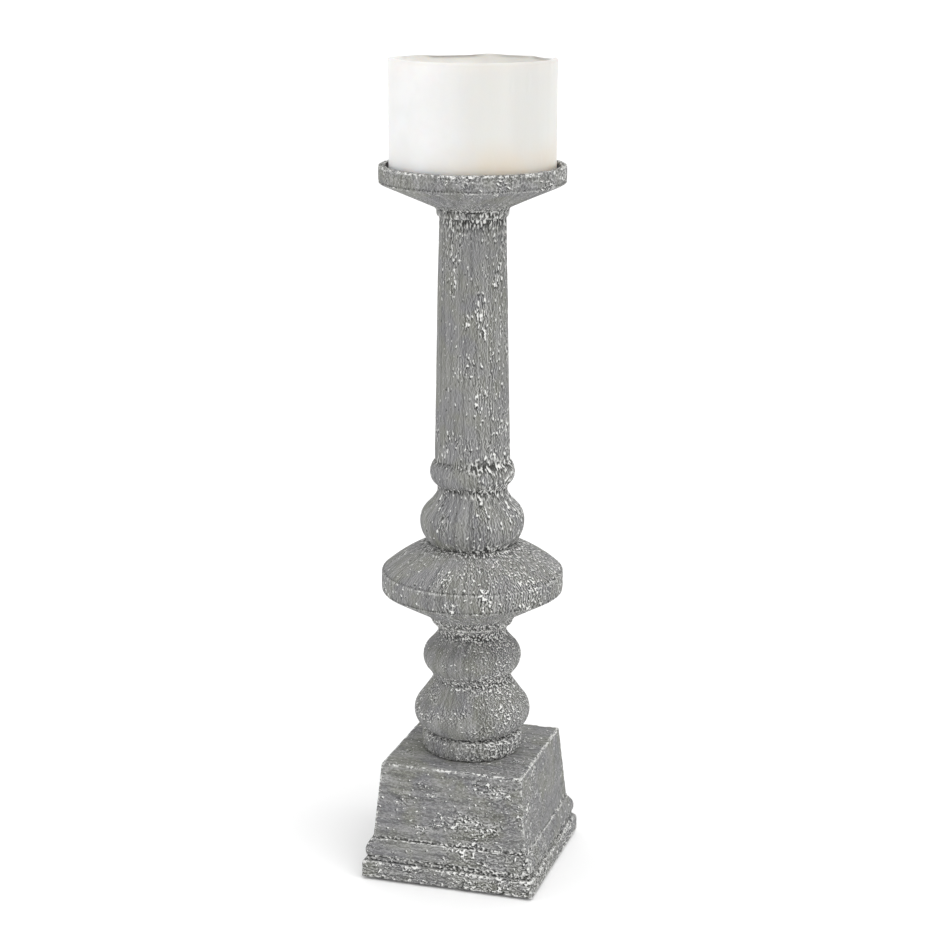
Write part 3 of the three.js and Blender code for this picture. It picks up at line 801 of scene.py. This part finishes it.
def candle_wall():
    """The candle's outline: its wall, the rim, the melted hollow, the wick's bore and the spike's hole."""
    radius, height, pool, wall, rim = CANDLE.values()
    o = Outline(10.1, 0, step=0.9)
    o.line(radius - 1, 0, skin=True)
    o.bend(radius, 0, radius, 1)
    o.line(radius, height - rim, skin=True)
    o.arc(radius - rim, height - rim, rim, 0, math.pi / 2)
    o.bend(radius - wall, height, radius - wall, height - 2.2)
    o.bend(radius - wall - 1.5, pool + 1.2, radius - wall - 7, pool + 0.4)
    o.line(20, pool, skin=True)
    o.bend(6, pool, 2.6, pool + 0.9)
    o.bend(1.7, pool + 1.1, 1.5, pool - 0.5)
    o.line(1.5, 30.6)
    o.line(0.8, 30.6)
    o.line(4.8, 2.8)
    o.line(10.1, 2.8)
    return o


def pillar_candle():
    """The candle, with its rim burnt unevenly: lower at the back, in shallow dips, with a dark line along
    the rim's inner top edge.
    """
    points, fall, dip = 360, 1.8, 1.1
    p, normal, _, (skin, *_) = candle_wall().measure()
    angle, circle = circle_points(points)
    place = swept(p, circle)
    rim = np.stack([circle[:, 0] * CANDLE["radius"], circle[:, 1] * CANDLE["radius"], np.zeros(points)], -1)
    behind = angle - FRONT - math.pi
    dips = 0.5 * ramp(noise(rim, 19, 71), 0.42, 0.78)
    for middle, half in ((15, 26), (-68, 24)):  # degrees from straight behind
        dips = np.maximum(dips, ramp(np.cos(behind - math.radians(middle)), math.cos(math.radians(half)), 1))
    away = ramp(np.cos(behind), -0.35, 0.8)
    top = ramp(p[:, 1], 56.5, CANDLE["height"])[:, None]
    lowered = top * (fall * away + dip * dips)
    waves = noise(place, (30, 30, 26), 75) * 0.35 * skin[:, None]
    beads = ramp(noise(place, (5, 5, 16), 79, 1), 0.72, 0.9) * 0.12 * skin[:, None]
    inwards = waves + 0.12 - beads
    place[..., :2] -= circle * (normal[:, :1] * inwards)[..., None]
    place[..., 2] -= lowered
    # A dark line along the rim's inner top edge, strongest in the dips and at the back.
    rim_top_edge = ramp(p[:, 1], 63.9, 65.4)[:, None] * ramp(p[:, 0], 46.6, 47.6)[:, None]
    layers = {
        "rim_dark_line": rim_top_edge * np.clip(0.3 + dips, 0, 1) * (0.2 + 0.8 * away),
        # Painted light: whiter on the front left, the side the candle lamp lights.
        "painted_light_bloom": ramp(np.cos(angle - FRONT + 1.15), 0.2, 0.9) * np.ones((len(p), 1)),
        # Warmer and darker low down: partly a real tint, partly painted shade under the dish's rim and a
        # painted warm glow.
        "low": ramp(p[:, 1], 26, 2)[:, None] * np.ones((1, points)),
    }
    place *= MM
    place[..., 2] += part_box("candle_wax")[0].z
    thing = grid_mesh("pillar_candle", place)
    keep(thing, **layers)
    return thing


def cotton_wick():
    """Three twisted strands, a little thinner at the tip."""
    low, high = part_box("candle_wick")
    points, rings = 36, 260
    t = np.linspace(0, 1, rings)[:, None]
    angle = np.linspace(0, 2 * math.pi, points, endpoint=False)[None]
    length = (high.z - low.z) / MM
    strands = 0.5 + 0.5 * np.cos(3 * (angle - t * length * 1.1))
    radius = (0.8 + 0.36 * strands) * (1 - 0.35 * ramp(t, 0.97, 1))
    place = np.empty((rings, points, 3))
    place[..., 0] = radius * np.cos(angle)
    place[..., 1] = radius * np.sin(angle)
    place[..., 2] = t * length
    ends = [np.broadcast_to(place[i].mean(0), (1, points, 3)) for i in (0, -1)]
    place = np.concatenate([ends[0], place, ends[1]]) * MM
    place[..., 2] += low.z
    return capped("cotton_wick", place)


def wick_cotton():
    """Waxed cotton, with a charred tip."""
    n = Nodes("wick_cotton")
    strand = n.noise(n.place(), 2500.0, 2.0)
    height = n.tree.nodes.new("ShaderNodeSeparateXYZ")
    n.put(height.inputs[0], n.place())
    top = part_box("candle_wick")[1].z
    char = n.ramp(height.outputs["Z"], top - 3.4 * MM, top - 1.6 * MM)
    colour = n.mix(n.ramp(strand, 0.35, 0.65), (0.62, 0.57, 0.46), (0.78, 0.74, 0.64))
    n.set(
        Base_Color=n.mix(char, colour, (0.015, 0.014, 0.013)),
        Roughness=0.85,
        Normal=n.bump(strand, 0.0001),
    )
    return n.material


show_as(pillar_candle(), "candle_wax", "candle", candle_wax())
show_as(cotton_wick(), "candle_wick", "candle", wick_cotton())

# ----------------------------------------------------------------- the metal pieces and the felt


def sharpened(thing):
    """Shades the mesh smooth, but for its sharp edges."""
    degrees = 32  # how far an edge turns before it counts as sharp
    thing.data.set_sharp_from_angle(angle=math.radians(degrees))
    return thing


def spun(name, outline, foot, points):
    """A metal ring spun from an outline, its foot at height foot in metres."""
    place = swept(outline.measure()[0], circle_points(points)[1]) * MM
    place[..., 2] += foot
    return sharpened(grid_mesh(name, place))


def iron_plate():
    """The wax plate: pressed sheet iron, with a rolled lip round it and an eased hole."""
    radius, thick, lip, wall, hole, ease = 52.5, 1.0, 2.0, 0.7, SLEEVE["bore"], 0.25
    o = Outline(hole, ease, step=0.9)
    o.bend(hole, 0, hole + ease, 0)
    o.line(radius - 0.8, 0, skin=True)
    o.bend(radius, 0, radius, 0.8)
    o.line(radius, lip - wall / 2)
    o.arc(radius - wall / 2, lip - wall / 2, wall / 2, 0, math.pi)
    o.line(radius - wall, thick + 0.5)
    o.bend(radius - wall, thick, radius - wall - 0.5, thick)
    o.line(hole + ease, thick, skin=True)
    o.bend(hole, thick, hole, thick - ease)
    return spun("iron_plate", o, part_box("wax_plate")[0].z, 240)


def iron_spike():
    """The spike: a hexagon with its corners turned off, a forged cone over it and a sleeve under it."""
    low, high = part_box("candle_spike")
    sleeve, socket, roof = SLEEVE["bore"] - SLIP, ROD_BORE, 1.5
    flat, hexagon, cone, tip = 8.5, 2.5, 4.5, 0.5
    top = (high.z - low.z) / MM - SLEEVE["length"]
    points = 192
    angle, _ = circle_points(points)
    corner = flat / np.cos((angle + math.pi / 6) % (math.pi / 3) - math.pi / 6)
    foot = -SLEEVE["length"]
    path = [(0, -roof), (socket, -roof), (socket, foot), (sleeve - 0.4, foot)]
    path += [(sleeve, foot + 0.4), (sleeve, 0)]
    rings = [(np.full(points, radius), height) for radius, height in path]
    for t in np.linspace(0, 1, 6):
        rings.append((np.minimum(corner, 9.1 + 0.8 * t), 0.5 * t))
    for t in np.linspace(0, 1, 8):
        rings.append((np.minimum(corner, 9.9 - 1.2 * t), hexagon - 0.7 * (1 - t)))
    for t in np.linspace(0, 1, 60):
        blow = 0.12 * ramp(np.sin(5 * angle + 19 * t) * np.sin(31 * t), 0.2, 1) * (1 - t)
        radius = (cone + (tip - cone) * t) - blow
        rings.append((radius, hexagon + (top - hexagon - 0.4) * t))
    rings.append((np.full(points, 0.3), top - 0.1))
    rings.append((np.zeros(points), top))
    place = np.empty((len(rings), points, 3))
    for ring, (radius, height) in zip(place, rings):
        ring[:, 0] = radius * np.cos(angle)
        ring[:, 1] = radius * np.sin(angle)
        ring[:, 2] = height
    place *= MM
    place[..., 2] += high.z - top * MM
    return sharpened(capped("iron_spike", place))


def felt_pad():
    """The felt: a sheet with round corners, whose cut edge is soft and a little uneven."""
    low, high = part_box("felt_base")
    half, thick, corner, soft = high.x / MM, (high.z - low.z) / MM, 3.0, 0.45
    ring, _, _ = square_ring(640)
    inner = np.clip(ring * half, corner - half, half - corner)
    round_corner = ring * half - inner
    round_corner /= np.linalg.norm(round_corner, axis=1, keepdims=True)
    path = [(half - reach, 0) for reach in (0, 2, 12, 30, half - 4)]  # how far in from the sides, and up
    path += [(soft * (1 - math.sin(t)), soft * (1 - math.cos(t))) for t in np.linspace(0, math.pi / 2, 6)]
    path += [(inset, thick - rise) for inset, rise in reversed(path)]
    place = np.empty((len(path), len(ring), 3))
    for points, (inset, height) in zip(place, path):
        points[:, :2] = (inner + round_corner * corner) * (1 - inset / half)
        points[:, 2] = height
    fuzz = 0.16 * noise(place, 1.3, 91)
    edge = np.abs(place[..., 2] - thick / 2) < thick / 2 - 0.01
    place[..., :2] *= 1 - (fuzz * edge / half)[..., None]
    place *= MM
    place[..., 2] += low.z
    return capped("felt_pad", place)


IRON, ZINC = black_iron(), zinc_steel()
show_as(iron_plate(), "wax_plate", "stand", IRON)
show_as(iron_spike(), "candle_spike", "stand", IRON)
show_as(felt_pad(), "felt_base", "stand", felt())

SCREWS = [f"base_screw_{number}" for number in range(1, 5)]
for node in ["tie_rod", "rod_washer", "lock_washer", "rod_nut", *SCREWS]:
    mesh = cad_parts[node].data
    mesh.materials.clear()
    mesh.materials.append(ZINC)

# ------------------------------------------------------------------------ floor, lights and camera

CAMERA = {  # degrees, metres, and the lens in millimetres for a sensor 36 mm wide
    "azimuth": 17.03,
    "distance": 1.3333,
    "height": 0.617,
    "pitch": 15.1,
    "yaw": 0.07,
    "roll": 0.08,
    "lens": 83.62,
}


def studio_floor():
    n = Nodes("studio_floor")
    n.set(Base_Color=(0.96, 0.96, 0.96), Roughness=0.95, Specular_IOR_Level=0.0)
    bpy.ops.mesh.primitive_plane_add(size=60, location=(0, 0, -0.0002))
    floor = bpy.context.object
    floor.name = "studio_floor"
    floor.data.materials.append(n.material)


def soft_light(name, place, target, size, power):
    data = bpy.data.lights.new(name, "AREA")
    data.shape = "DISK"
    data.size = size
    data.energy = power
    lamp = bpy.data.objects.new(name, data)
    bpy.context.scene.collection.objects.link(lamp)
    lamp.location = place
    lamp.rotation_euler = (Vector(target) - Vector(place)).to_track_quat("-Z", "Y").to_euler()


def wide_sun(name, towards, strength, spread):
    data = bpy.data.lights.new(name, "SUN")
    data.energy = strength
    data.angle = math.radians(spread)
    lamp = bpy.data.objects.new(name, data)
    bpy.context.scene.collection.objects.link(lamp)
    lamp.rotation_euler = Vector(towards).to_track_quat("Z", "Y").to_euler()


SKY = (0.22, 0.42, 1.02, 0.75)  # between these heights on the unit sphere, from this strength to that


def studio_light():
    """A soft white room, brightest at the horizon, with a wide key light from the front right."""
    world = bpy.data.worlds.new("studio")
    world.use_nodes = True
    tree = world.node_tree
    way = tree.nodes.new("ShaderNodeTexCoord")
    split = tree.nodes.new("ShaderNodeSeparateXYZ")
    rise = tree.nodes.new("ShaderNodeMapRange")
    rise.interpolation_type = "SMOOTHSTEP"
    for socket, value in zip(rise.inputs[1:5], SKY):
        socket.default_value = value
    tree.links.new(way.outputs["Generated"], split.inputs[0])
    tree.links.new(split.outputs["Z"], rise.inputs[0])
    tree.links.new(rise.outputs[0], tree.nodes["Background"].inputs["Strength"])
    tree.nodes["Background"].inputs["Color"].default_value = (1, 1, 1, 1)
    bpy.context.scene.world = world
    wide_sun("wide_key", (0.56, -0.4, 1.1), 1.34, 55)
    wide_sun("back_fill", (-0.25, 0.9, 0.75), 0.35, 90)
    soft_light("candle_side", (-0.5, -0.3, 0.56), (0, 0, 0.48), 0.3, 0.4)


def studio_camera():
    data = bpy.data.cameras.new("camera")
    data.lens = CAMERA["lens"]
    data.sensor_width = 36
    camera = bpy.data.objects.new("camera", data)
    bpy.context.scene.collection.objects.link(camera)
    azimuth = math.radians(CAMERA["azimuth"])
    turn = Matrix.Rotation(azimuth - math.radians(CAMERA["yaw"]), 4, "Z")
    tilt = Matrix.Rotation(math.radians(90 - CAMERA["pitch"]), 4, "X")
    roll = Matrix.Rotation(math.radians(CAMERA["roll"]), 4, "Z")
    back = CAMERA["distance"]
    place = Matrix.Translation((back * math.sin(azimuth), -back * math.cos(azimuth), CAMERA["height"]))
    camera.matrix_world = place @ turn @ tilt @ roll
    bpy.context.scene.camera = camera


studio_floor()
studio_light()
studio_camera()
bpy.context.scene.view_settings.view_transform = "Standard"
